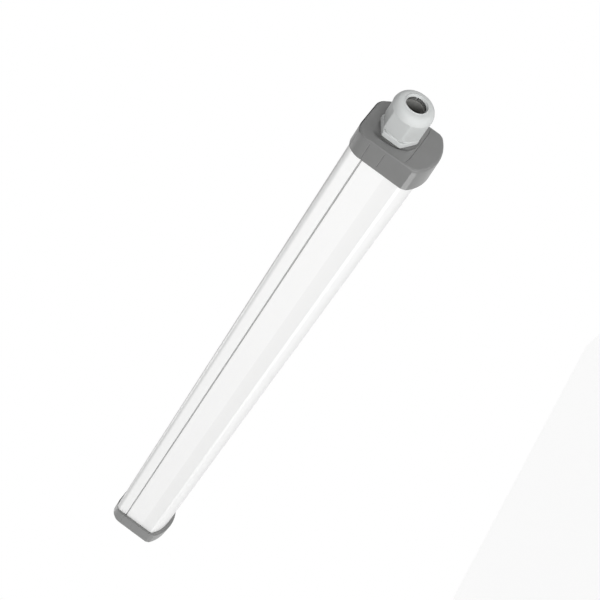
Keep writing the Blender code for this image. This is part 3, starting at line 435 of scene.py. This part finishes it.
def line_points(long_line=0.0, short_line=0.0):
    """The side's points at the two mould lines, as (inset, z), with the depth of each line."""
    insets = (0.0, long_line, 0.0, 0.0, short_line, 0.0)
    return list(zip(insets, long_line_levels + short_line_levels))


def cap_outline(inset, draft=0.0, long_line=0.0, short_line=0.0):
    """The cap's section, drawn in by the inset all round and by the draft at the sides and nose."""
    drawn = inset + draft
    return both_halves(
        half_outline(
            tube_half_width + cap_side_stand - drawn,
            cap_back_stand - inset,
            nose_radius + cap_nose_stand - drawn,
            cap_back_corner - drawn,
            cap_nose_corner - drawn,
            line_points(long_line, short_line) + plain_side(-0.0290, -0.0350),
        )
    )


def between(one, other, share):
    """The point at that share of the way from one to the other."""
    return tuple(a + (b - a) * share for a, b in zip(one, other))


def inward(point, radius):
    """The point at that radius from the gland's axis, in the direction of the outline's point."""
    y, z = point
    share = radius / math.hypot(y, z + axis_depth)
    return y * share, (z + axis_depth) * share - axis_depth


def edge_round(z):
    """Radius of the round of the end face's edge at that height."""
    at_end = max(-z - nose_round_from, z + round_blend) / round_blend
    return side_round + (nose_round - side_round) * min(max(at_end, 0.0), 1.0)


def hollow_line(point):
    """The end face from the gland's seat out to the outline's point, as (radius, level)."""
    y, z = point
    reach = math.hypot(y, z + axis_depth)
    toward_nose = -(z + axis_depth) / reach
    at_nose = max(toward_nose, 0.0) ** 2
    # toward the back there is no raised flat, so its edge lies far beyond the rim
    flat = flat_edge / toward_nose if toward_nose > 0 else 10 * reach
    foot = min(flat - step_width, reach - 2 * rim_land)
    crest = min(crest_radius + crest_drift * max(-toward_nose, 0.0), foot)
    trough = min(trough_radius, foot)
    depth = trough_depth + (seat_depth - trough_depth) * at_nose
    above = max(inward(point, foot)[1] + axis_depth - brim_tilt_from, 0.0)
    tilt = brim_tilt * above / (axis_depth - brim_tilt_from)
    brim = -tilt - brim_depth * (1 - brim_nose_share * at_nose)
    top = min(brim + crest_fall * (foot - crest), -crest_clearance)
    line = [(seat_radius, -seat_depth), (seat_radius + seat_edge, -depth)]
    for i in range(rise_steps + 1):
        share = i / rise_steps
        rise = (1 - math.cos(math.pi * share)) / 2
        line.append((trough + (crest - trough) * share, -depth + (top + depth) * rise))
    for i in range(1, fall_steps + 1):
        left = 1 - i / fall_steps
        line.append((foot - (foot - crest) * left, brim + (top - brim) * left))
    for i in range(1, step_steps + 1):
        out = (min(flat, reach - rim_land) - foot) * i / step_steps
        line.append((foot + out, brim * (1 - out / (flat - foot))))
    line.append((reach, brim * (1 - min((reach - foot) / (flat - foot), 1.0))))
    return line


def grey_cap(name, side, hole):
    """An end cap. Each ring has one point for each point of the outline, from the hole to the socket."""
    whole = cap_outline(0.0, cap_draft)
    bends = [edge_round(z) for _, z in whole]
    drawn_in = cap_outline(nose_round, cap_draft)
    face = [between(p, q, bend / nose_round) for p, q, bend in zip(whole, drawn_in, bends)]
    rings = []
    if hole:
        rings.append([(-seat_depth - cap_end_wall, *inward(p, hole)) for p in face])
        rings.append([(-seat_depth, *inward(p, hole)) for p in face])
    else:
        rings.append([(-seat_depth, *inward(p, blind_middle)) for p in face])
    *hollow, rim = zip(*(hollow_line(p) for p in face))
    for row in hollow:
        rings.append([(level, *inward(p, radius)) for p, (radius, level) in zip(face, row)])
    for i in range(round_steps + 1):
        turn = math.pi / 2 * (1 - i / round_steps)
        ring = []
        for p, q, (_, level), bend in zip(whole, face, rim, bends):
            ring.append((level - bend * (1 - math.sin(turn)), *between(p, q, 1 - math.cos(turn))))
        rings.append(ring)
    for x, share, long_line, short_line in line_rows:
        section = cap_outline(0.0, cap_draft * (1 - share), long_line, short_line)
        rings.append([(x, y, z) for y, z in section])
    socket = tube_outline(cap_fit, line_points() + plain_side(-0.0260, -0.0300))
    for x, section in (
        (-cap_length + cap_foot_bevel, cap_outline(0.0, 0.0, line_depth)),
        (-cap_length, cap_outline(cap_foot_bevel)),
        (-cap_length, socket),
        (-seat_depth - cap_end_wall, socket),
    ):
        rings.append([(x, y, z) for y, z in section])
    turned = [[Vector((side * (end_plane + x), side * y, z)) for x, y, z in ring] for ring in rings]
    piece = skin(name, turned, grey_plastic, closed=bool(hole), sharp=fine_degrees)
    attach(piece, "fixture")
    return piece


grey_plastic = moulded(
    "grey_cap_plastic", (0.183, 0.184, 0.182),
    roughness=0.30, mottle=0.03, grain_size=2600, grain_depth=0.06,
)
gland_cap = grey_cap("gland_end_cap", 1, gland_hole)
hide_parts("end_cap_gland")
blind_cap = grey_cap("blind_end_cap", -1, 0)
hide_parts("end_cap_blind")

soft_silicone = moulded(
    "soft_silicone", (0.72, 0.72, 0.71),
    roughness=0.55, mottle=0.04, grain_size=2000, grain_depth=0.1,
)
finish_kept(soft_silicone, "end_seal_gland", "end_seal_blind")


# Gland body: one light grey nylon moulding with a hexagonal flange, a thin collar and a threaded
# spigot. It is screwed through the cap's floor with a rubber gasket, and a lock nut holds it inside.

gland_face = end_plane - seat_depth
round_the_gland = 144
flats = 0.0240
corner_radius = 0.0138
corner_softness = 0.0003

# heights above the gland's seat, radii from its axis and small bevels
flange_top = 0.0042
collar_top = 0.0050
collar_radius = 0.0114
cable_bore = 0.0069
spigot_foot = -0.0090
spigot_radius = 0.0099
flange_foot = 0.0003
thread_radius = 0.0092
thread_top = 0.0155
seal_seat = 0.0062
seal_bore = 0.0079
edge_bevel = 0.0004
thread_bevel = 0.0003
flange_bevel = 0.0005
collar_fillet = 0.0002
nylon = moulded(
    "light_grey_nylon", (0.585, 0.60, 0.595),
    roughness=0.60, mottle=0.02, grain_size=3400, grain_depth=0.08,
)


def ring_round(x, radius):
    """Points round the gland's axis. The radius is a number, or a function of the angle."""
    points = []
    for i in range(round_the_gland):
        turn = math.tau * i / round_the_gland
        r = radius(turn) if callable(radius) else radius
        points.append(Vector((gland_face + x, r * math.cos(turn), r * math.sin(turn) - axis_depth)))
    return points


def turned_piece(name, line):
    """A nylon piece turned from a closed line of (x, radius)."""
    return skin(name, [ring_round(x, r) for x, r in line], nylon, closed=True)


def hexagon(inset=0.0, turned_by=0.0):
    """Radius by angle of a hexagon with rounded corners, two of them on the Z axis before its turn."""

    def radius(turn):
        off = (turn - turned_by + math.pi / 6) % (math.pi / 3) - math.pi / 6
        flat = (flats / 2 - inset) / math.cos(off)
        corner = corner_radius - inset
        soft = math.sqrt(((flat - corner) / 2) ** 2 + corner_softness**2)
        return (flat + corner) / 2 - soft + corner_softness / 2

    return radius


gland_body = turned_piece(
    "nylon_gland_body",
    [
        (spigot_foot, cable_bore),
        (spigot_foot, spigot_radius - thread_bevel),
        (spigot_foot + edge_bevel, spigot_radius),
        (flange_foot, spigot_radius),
        (flange_foot, hexagon(edge_bevel)),
        (flange_foot + edge_bevel, hexagon()),
        (flange_top - edge_bevel, hexagon()),
        (flange_top, hexagon(flange_bevel)),
        (flange_top, collar_radius + collar_fillet),
        (flange_top + collar_fillet, collar_radius),
        (collar_top, collar_radius),
        (collar_top, thread_radius),
        (thread_top - edge_bevel, thread_radius),
        (thread_top, thread_radius - thread_bevel),
        (thread_top, seal_bore),
        (seal_seat, seal_bore),
        (seal_seat, cable_bore),
    ],
)
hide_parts("gland_body")
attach(gland_body, "fixture")
finish_kept(nylon, "gland_lock_nut")

dark_rubber = moulded(
    "dark_grey_rubber", (0.26, 0.26, 0.25),
    roughness=0.62, mottle=0.08, grain_size=1600, grain_depth=0.2,
)
finish_kept(dark_rubber, "gland_gasket", "gland_seal_insert")


# Dome nut: light grey nylon with six flats under a round dome. It screws down on the spigot, and
# the cone inside it closes the clamp ring's claws on the cable.

# heights above the gland's seat, and radii from its axis
nut_foot = 0.0053
nut_top = 0.0271
nut_turn = math.radians(-8)
flats_end = 0.0203
dome_foot = 0.0213
dome_equator = 0.0190
dome_fullness = 2.6
dome_radius = 0.0138
dome_steps = 32
mouth_outer = 0.0080
mouth_inner = 0.0073
mouth_end = 0.0256
mouth_end_radius = 0.0067
lip_round = 0.0004
lip_steps = 8
lip_foot = nut_top - lip_round
cone_foot = 0.0177
cone_radius = 0.0080
nut_bore = 0.0096
nut_bevel = 0.0006
# insets of the hexagon, by height above the nut's foot and above the end of its flats
foot_insets = ((0.0, 0.0007), (0.0005, 0.0001), (0.0010, 0.0))
flat_insets = ((0.0, 0.0), (0.0004, -0.0002))


def dome(x):
    """The dome's radius at x above the gland's seat."""
    share = (x - dome_equator) / (lip_foot - dome_equator)
    return mouth_outer + (dome_radius - mouth_outer) * (1 - share**dome_fullness) ** (1 / dome_fullness)


nut_line = [(nut_foot + up, hexagon(inset, nut_turn)) for up, inset in foot_insets]
nut_line += [(flats_end + up, hexagon(inset, nut_turn)) for up, inset in flat_insets]
for i in range(dome_steps + 1):
    x = dome_foot + (lip_foot - dome_foot) * math.sin(math.pi / 2 * i / dome_steps)
    nut_line.append((x, dome(x)))
for i in range(1, lip_steps + 1):
    turn = math.pi / 2 * (1 - i / lip_steps)
    nut_line.append(on_arc(lip_foot, mouth_outer - lip_round, lip_round, turn))
for i in range(lip_steps + 1):
    turn = -math.pi / 2 * i / lip_steps
    nut_line.append(on_arc(lip_foot, mouth_inner + lip_round, lip_round, turn))
nut_line += [
    (mouth_end, mouth_end_radius),
    (mouth_end, cone_radius),
    (cone_foot, nut_bore),
    (nut_foot + nut_bevel, nut_bore),
    (nut_foot, nut_bore + nut_bevel),
]
dome_nut = turned_piece("nylon_dome_nut", nut_line)
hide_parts("gland_dome_nut")
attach(dome_nut, "gland_nut")


# Clamp ring: ten nylon claws on a collar, which ride under the nut's cone round the rubber insert.
# One claw is modelled, and Geometry Nodes set ten of them round the axis.

claw_count = 10
claw_steps = 12
claw_gap = 0.0012
gap_foot = 0.0172
weld_reach = 0.000002
# one claw as (x, radius): the collar, the outside up to the tip, and the inside
claw_line = [
    (0.0158, 0.0079), (0.0158, 0.0093), (gap_foot, 0.0093), (0.0177, 0.0093), (0.0246, 0.0079),
    (0.0246, 0.0067), (0.0229, 0.0073), (0.0199, 0.0079),
]
dark_nylon = moulded(
    "dark_grey_nylon", (0.17, 0.17, 0.168),
    roughness=0.5, mottle=0.03, grain_size=3000, grain_depth=0.08,
)


def claw_section(share):
    """The claw's line at that share of its half width, from -1 to 1, with the gap past the collar."""
    section = []
    for x, r in claw_line:
        half = math.pi / claw_count
        if x > gap_foot:
            half -= claw_gap / 2 / r
        section.append((x, r * math.cos(half * share), r * math.sin(half * share)))
    return section


def around_axis_tree():
    """Copies of the mesh turned round X, then moved out to the gland, as one mesh."""
    tree = bpy.data.node_groups.new("claws_round_axis", "GeometryNodeTree")
    inputs = {"Geometry": "Geometry", "Claws": "Int", "Place": "Vector", "Finish": "Material"}
    given, put = add_sockets(tree, inputs, {"Geometry": "Geometry"})
    places = add_node(tree, "GeometryNodeMeshLine", {"Offset": (0, 0, 0)})
    places.mode = "OFFSET"
    to_points = add_node(tree, "GeometryNodeMeshToPoints")
    index = add_node(tree, "GeometryNodeInputIndex")
    step = add_node(tree, "ShaderNodeMath", {0: math.tau}, operation="DIVIDE")
    turn = add_node(tree, "ShaderNodeMath", operation="MULTIPLY")
    turning = add_node(tree, "ShaderNodeCombineXYZ")
    copies = add_node(tree, "GeometryNodeInstanceOnPoints")
    real = add_node(tree, "GeometryNodeRealizeInstances")
    move = add_node(tree, "GeometryNodeTransform")
    paint = add_node(tree, "GeometryNodeSetMaterial")
    wire(
        tree,
        (given, "Claws", places, "Count"),
        (places, "Mesh", to_points, "Mesh"),
        (to_points, "Points", copies, "Points"),
        (given, "Geometry", copies, "Instance"),
        (given, "Claws", step, 1),
        (index, "Index", turn, 0),
        (step, 0, turn, 1),
        (turn, 0, turning, "X"),
        (turning, "Vector", copies, "Rotation"),
        (copies, "Instances", real, "Geometry"),
        (real, "Geometry", move, "Geometry"),
        (given, "Place", move, "Translation"),
        (move, "Geometry", paint, "Geometry"),
        (given, "Finish", paint, "Material"),
        (paint, "Geometry", put, "Geometry"),
    )
    return tree


def grown(name, seed, tree, values):
    """Runs a node tree on a mesh with its named values and returns the result as a plain piece."""
    piece = placed(name, seed)
    growth = piece.modifiers.new("growth", "NODES")
    growth.node_group = tree
    for item in tree.interface.items_tree:
        if item.in_out == "INPUT" and item.name in values:
            growth[item.identifier] = values[item.name]
    seen = piece.evaluated_get(bpy.context.evaluated_depsgraph_get())
    mesh = bpy.data.meshes.new_from_object(seen)
    mesh.name = name
    piece.modifiers.clear()
    piece.data = mesh
    return piece


claw = shell_mesh("claw", [claw_section(2 * i / claw_steps - 1) for i in range(claw_steps + 1)])
clamp_ring = grown(
    "nylon_clamp_ring",
    claw,
    around_axis_tree(),
    {"Claws": claw_count, "Place": (gland_face, 0.0, -axis_depth), "Finish": dark_nylon},
)
welded = bmesh.new()
welded.from_mesh(clamp_ring.data)
bmesh.ops.remove_doubles(welded, verts=welded.verts, dist=weld_reach)
bmesh.ops.recalc_face_normals(welded, faces=welded.faces)
welded.to_mesh(clamp_ring.data)
welded.free()
smooth_under(clamp_ring.data, sharp_degrees)
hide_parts("gland_clamp_ring")
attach(clamp_ring, "gland_clamp")


# Gear tray and its stops: folded white steel that slides in the tube's rails, and a white moulded
# stop at each end whose arm reaches to the cap.

white_paint = moulded(
    "white_powder_coat", (0.84, 0.84, 0.83),
    roughness=0.45, mottle=0.015, grain_size=1400, grain_depth=0.25,
)
white_plastic = moulded(
    "white_polycarbonate", (0.80, 0.80, 0.79),
    roughness=0.4, mottle=0.02, grain_size=2400, grain_depth=0.08,
)
finish_kept(white_paint, "gear_tray")
finish_kept(white_plastic, "tray_stop_gland", "tray_stop_blind", "board_link", "terminal_block")


# LED boards: white solder mask on two boards under the tray, sixteen LEDs on each, set out by
# Geometry Nodes. Each LED is a white frame round a yellow phosphor.

led_count = 16
led_first = 0.012
led_last = 0.006
led_half_size = (0.00175, 0.0014)
led_height = 0.0006
pad_half_size = (0.0013, 0.0010)
pad_height = 0.0008
board_sheet = 0.001
board_bevel = 0.0001


def add_box(shape, low, high):
    """A box between two corners, in a bmesh."""
    for v in bmesh.ops.create_cube(shape, size=1)["verts"]:
        v.co = Vector([end if side > 0 else start for side, start, end in zip(v.co, low, high)])


def led_mesh():
    """One LED under a board: a low frame, and a phosphor pad proud of it in a material of its own."""
    led = bmesh.new()
    across, along = led_half_size
    add_box(led, (-across, -along, -led_height), (across, along, 0.0))
    frame_faces = len(led.faces)
    across, along = pad_half_size
    add_box(led, (-across, -along, -pad_height), (across, along, -led_height))
    led.faces.ensure_lookup_table()
    for f in led.faces[frame_faces:]:
        f.material_index = 1
    return mesh_of(led, "led")


def led_row_tree():
    """A row of LEDs along X from Start, Step apart, realised with each LED's own two materials."""
    tree = bpy.data.node_groups.new("led_row", "GeometryNodeTree")
    inputs = {"Geometry": "Geometry", "Leds": "Int", "Start": "Vector", "Step": "Vector"}
    inputs |= {"Frame Finish": "Material", "Phosphor Finish": "Material"}
    given, put = add_sockets(tree, inputs, {"Geometry": "Geometry"})
    row = add_node(tree, "GeometryNodeMeshLine")
    row.mode = "OFFSET"
    copies = add_node(tree, "GeometryNodeInstanceOnPoints")
    real = add_node(tree, "GeometryNodeRealizeInstances")
    own = add_node(tree, "GeometryNodeInputMaterialIndex")
    is_pad = add_node(tree, "ShaderNodeMath", {1: 0.5}, operation="GREATER_THAN")
    frames = add_node(tree, "GeometryNodeSetMaterial")
    pads = add_node(tree, "GeometryNodeSetMaterial")
    wire(
        tree,
        (given, "Leds", row, "Count"),
        (given, "Start", row, "Start Location"),
        (given, "Step", row, "Offset"),
        (row, "Mesh", copies, "Points"),
        (given, "Geometry", copies, "Instance"),
        (copies, "Instances", real, "Geometry"),
        (real, "Geometry", frames, "Geometry"),
        (given, "Frame Finish", frames, "Material"),
        (frames, "Geometry", pads, "Geometry"),
        (own, "Material Index", is_pad, 0),
        (is_pad, 0, pads, "Selection"),
        (given, "Phosphor Finish", pads, "Material"),
        (pads, "Geometry", put, "Geometry"),
    )
    return tree


solder_mask = moulded(
    "white_solder_mask", (0.86, 0.86, 0.84),
    roughness=0.35, mottle=0.01, grain_size=5000, grain_depth=0.05,
)
phosphor = moulded(
    "yellow_phosphor", (0.80, 0.62, 0.12),
    roughness=0.5, mottle=0.05, grain_size=9000, grain_depth=0.2,
)
led_row = led_row_tree()
for node, side in (("led_board_gland", 1), ("led_board_blind", -1)):
    low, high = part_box(node)
    board = bmesh.new()
    add_box(board, (low.x, low.y, high.z - board_sheet), high)
    bmesh.ops.bevel(board, geom=board.edges[:], offset=board_bevel, segments=1, affect="EDGES")
    plate = mesh_of(board, f"{node}_plate")
    plate.materials.append(solder_mask)
    finish_kept(solder_mask, node)
    step = (max(abs(low.x), abs(high.x)) - led_last - led_first) / (led_count - 1)
    leds = grown(
        f"{node}_leds",
        led_mesh(),
        led_row,
        {
            "Leds": led_count,
            "Start": (side * led_first, 0.0, high.z - board_sheet),
            "Step": (side * step, 0.0, 0.0),
            "Frame Finish": solder_mask,
            "Phosphor Finish": phosphor,
        },
    )
    whole = placed(f"{node}_plate", plate)
    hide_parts(node)
    for piece in (whole, leds):
        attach(piece, "fixture")


# Driver: a white box in two halves round a green circuit board, held to the tray by two zinc
# plated screws. A third screw takes the earth wire.

driver_plastic = moulded(
    "driver_case_plastic", (0.72, 0.72, 0.70),
    roughness=0.5, mottle=0.02, grain_size=1500, grain_depth=0.3,
)
green_board = moulded(
    "green_circuit_board", (0.03, 0.16, 0.07),
    roughness=0.38, mottle=0.15, grain_size=900, grain_depth=0.15,
)
zinc = moulded(
    "zinc_plated_steel", (0.62, 0.62, 0.60),
    roughness=0.35, mottle=0.08, grain_size=700, grain_depth=0.1, metallic=1.0,
)
finish_kept(driver_plastic, "driver_base", "driver_cover")
finish_kept(green_board, "driver_board")
finish_kept(zinc, "driver_screw_inner", "driver_screw_gland_end", "earth_screw")


# Terminal block: each of its three orange buttons stands on a bent steel spring, which flattens
# when the button is pushed in.

orange_plastic = moulded(
    "orange_button_plastic", (0.75, 0.26, 0.04),
    roughness=0.3, mottle=0.03, grain_size=2600, grain_depth=0.06,
)
spring_steel = moulded(
    "bright_spring_steel", (0.55, 0.55, 0.56),
    roughness=0.25, mottle=0.05, grain_size=500, grain_depth=0.05, metallic=1.0,
)
spring_sheet = 0.0004
spring_edge = 0.0001
bend_steps = 20
for number in (1, 2, 3):
    finish_kept(orange_plastic, f"terminal_button_{number}")
    low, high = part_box(f"terminal_spring_{number}")
    outer = (high.z - low.z) / 2
    inner = outer - spring_sheet
    bend = high.x - outer, low.z + outer
    turns = [math.pi * (i / bend_steps - 1 / 2) for i in range(bend_steps + 1)]
    line = [(low.x, low.z), *(on_arc(*bend, outer, turn) for turn in turns)]
    line += [(low.x, high.z), (low.x, high.z - spring_sheet)]
    line += [on_arc(*bend, inner, turn) for turn in reversed(turns)]
    line.append((low.x, low.z + spring_sheet))
    sides = (low.y, low.y + spring_edge, high.y - spring_edge, high.y)
    rings = [[Vector((x, y, z)) for x, z in line] for y in sides]
    spring = skin(f"bent_spring_{number}", rings, spring_steel)
    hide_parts(f"terminal_spring_{number}")
    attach(spring, "fixture")
    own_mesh(spring)


# Wires: PVC insulated, from the terminal block to the driver and to the earth screw, and two thin
# leads from the driver to the LED boards.

for node, finish, colour in (
    ("wire_earth", "green_wire_pvc", (0.10, 0.35, 0.06)),
    ("wire_neutral", "blue_wire_pvc", (0.03, 0.09, 0.45)),
    ("wire_live", "brown_wire_pvc", (0.20, 0.06, 0.02)),
    ("led_lead_plus", "red_wire_pvc", (0.45, 0.02, 0.02)),
    ("led_lead_minus", "black_wire_pvc", (0.02, 0.02, 0.02)),
):
    pvc = moulded(finish, colour, roughness=0.4, mottle=0.05, grain_size=2000, grain_depth=0.06)
    finish_kept(pvc, node)


# Floor, light and camera: a plain pale floor far below the hanging fixture, soft studio light, and
# a camera beyond the gland's end, level with the fixture and rolled, so the tube runs down to the left.

floor_reach = 9
floor_level = -2.4
floor_glow = 0.6
world_light = 0.36
lamp_aim = Vector((0.0, 0.0, -0.02))


def backdrop_rays(tree):
    """A node that gives 1 where a backdrop is looked at, also in a gloss, and 0 where it only lights."""
    ray = add_node(tree, "ShaderNodeLightPath")
    either = add_node(tree, "ShaderNodeMath", operation="MAXIMUM")
    any_of = add_node(tree, "ShaderNodeMath", operation="MAXIMUM")
    wire(
        tree,
        (ray, "Is Camera Ray", either, 0),
        (ray, "Is Glossy Ray", either, 1),
        (either, 0, any_of, 0),
        (ray, "Is Transmission Ray", any_of, 1),
    )
    return any_of


def soft_lamp(name, toward, distance, size, tone):
    """An area lamp that adds that share of the plain light level to a surface facing it."""
    lamp = bpy.data.lights.new(name, "AREA")
    lamp.shape = "DISK"
    lamp.size = size
    lamp.energy = math.pi**2 * distance**2 * tone
    out = Vector(toward).normalized()
    holder = placed(name, lamp)
    holder.location = lamp_aim + out * distance
    holder.rotation_mode = "QUATERNION"
    holder.rotation_quaternion = out.to_track_quat("Z", "Y")


floor_mesh = bpy.data.meshes.new("floor")
floor_corners = [
    (x * floor_reach, y * floor_reach, floor_level) for x, y in ((-1, -1), (1, -1), (1, 1), (-1, 1))
]
floor_mesh.from_pydata(floor_corners, [], [(0, 1, 2, 3)])
floor = placed("floor", floor_mesh)
pale, tree, shader = new_surface("pale_floor", (0.85, 0.85, 0.85), 0.8)
shader.inputs["Emission Color"].default_value = (1, 1, 1, 1)
glow = add_node(tree, "ShaderNodeMath", {1: floor_glow}, operation="MULTIPLY")
wire(tree, (backdrop_rays(tree), 0, glow, 0), (glow, 0, shader, "Emission Strength"))
floor_mesh.materials.append(pale)
floor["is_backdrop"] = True

world = bpy.data.worlds.new("studio")
bpy.context.scene.world = world
world.use_nodes = True
tree = world.node_tree
sky = tree.nodes["Background"]
sky.inputs["Color"].default_value = (1, 1, 1, 1)
level = add_node(tree, "ShaderNodeMapRange", {"To Min": world_light, "To Max": 1.0})
wire(tree, (backdrop_rays(tree), 0, level, "Value"), (level, "Result", sky, "Strength"))

soft_lamp("key_lamp", (0.53, -0.77, -0.34), distance=3.4, size=2.0, tone=0.72)
soft_lamp("fill_lamp", (0.92, 0.24, -0.30), distance=3.4, size=2.0, tone=0.20)
soft_lamp("facet_lamp", (-0.78, -0.39, -0.48), distance=2.3, size=0.5, tone=0.03)
soft_lamp("cap_lamp", (-0.827, -0.842, -1.007), distance=1.55, size=0.35, tone=0.10)
soft_lamp("shoulder_lamp", (-0.79, 0.03, 0.60), distance=4.0, size=1.2, tone=0.12)

camera_place = Vector((gland_face + 0.5682, -0.6064, -axis_depth - 0.0282))
camera_right = Vector((0.358, 0.472, -0.805))
camera_up = Vector((0.512, 0.622, 0.592))
camera_data = bpy.data.cameras.new("camera")
camera_data.lens = 80.86
camera_data.sensor_width = 36
camera = placed("camera", camera_data)
stand = Matrix((camera_right, camera_up, camera_right.cross(camera_up))).transposed().to_4x4()
stand.translation = camera_place
camera.matrix_world = stand
bpy.context.scene.camera = camera
bpy.context.scene.view_settings.view_transform = "Standard"

low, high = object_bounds()
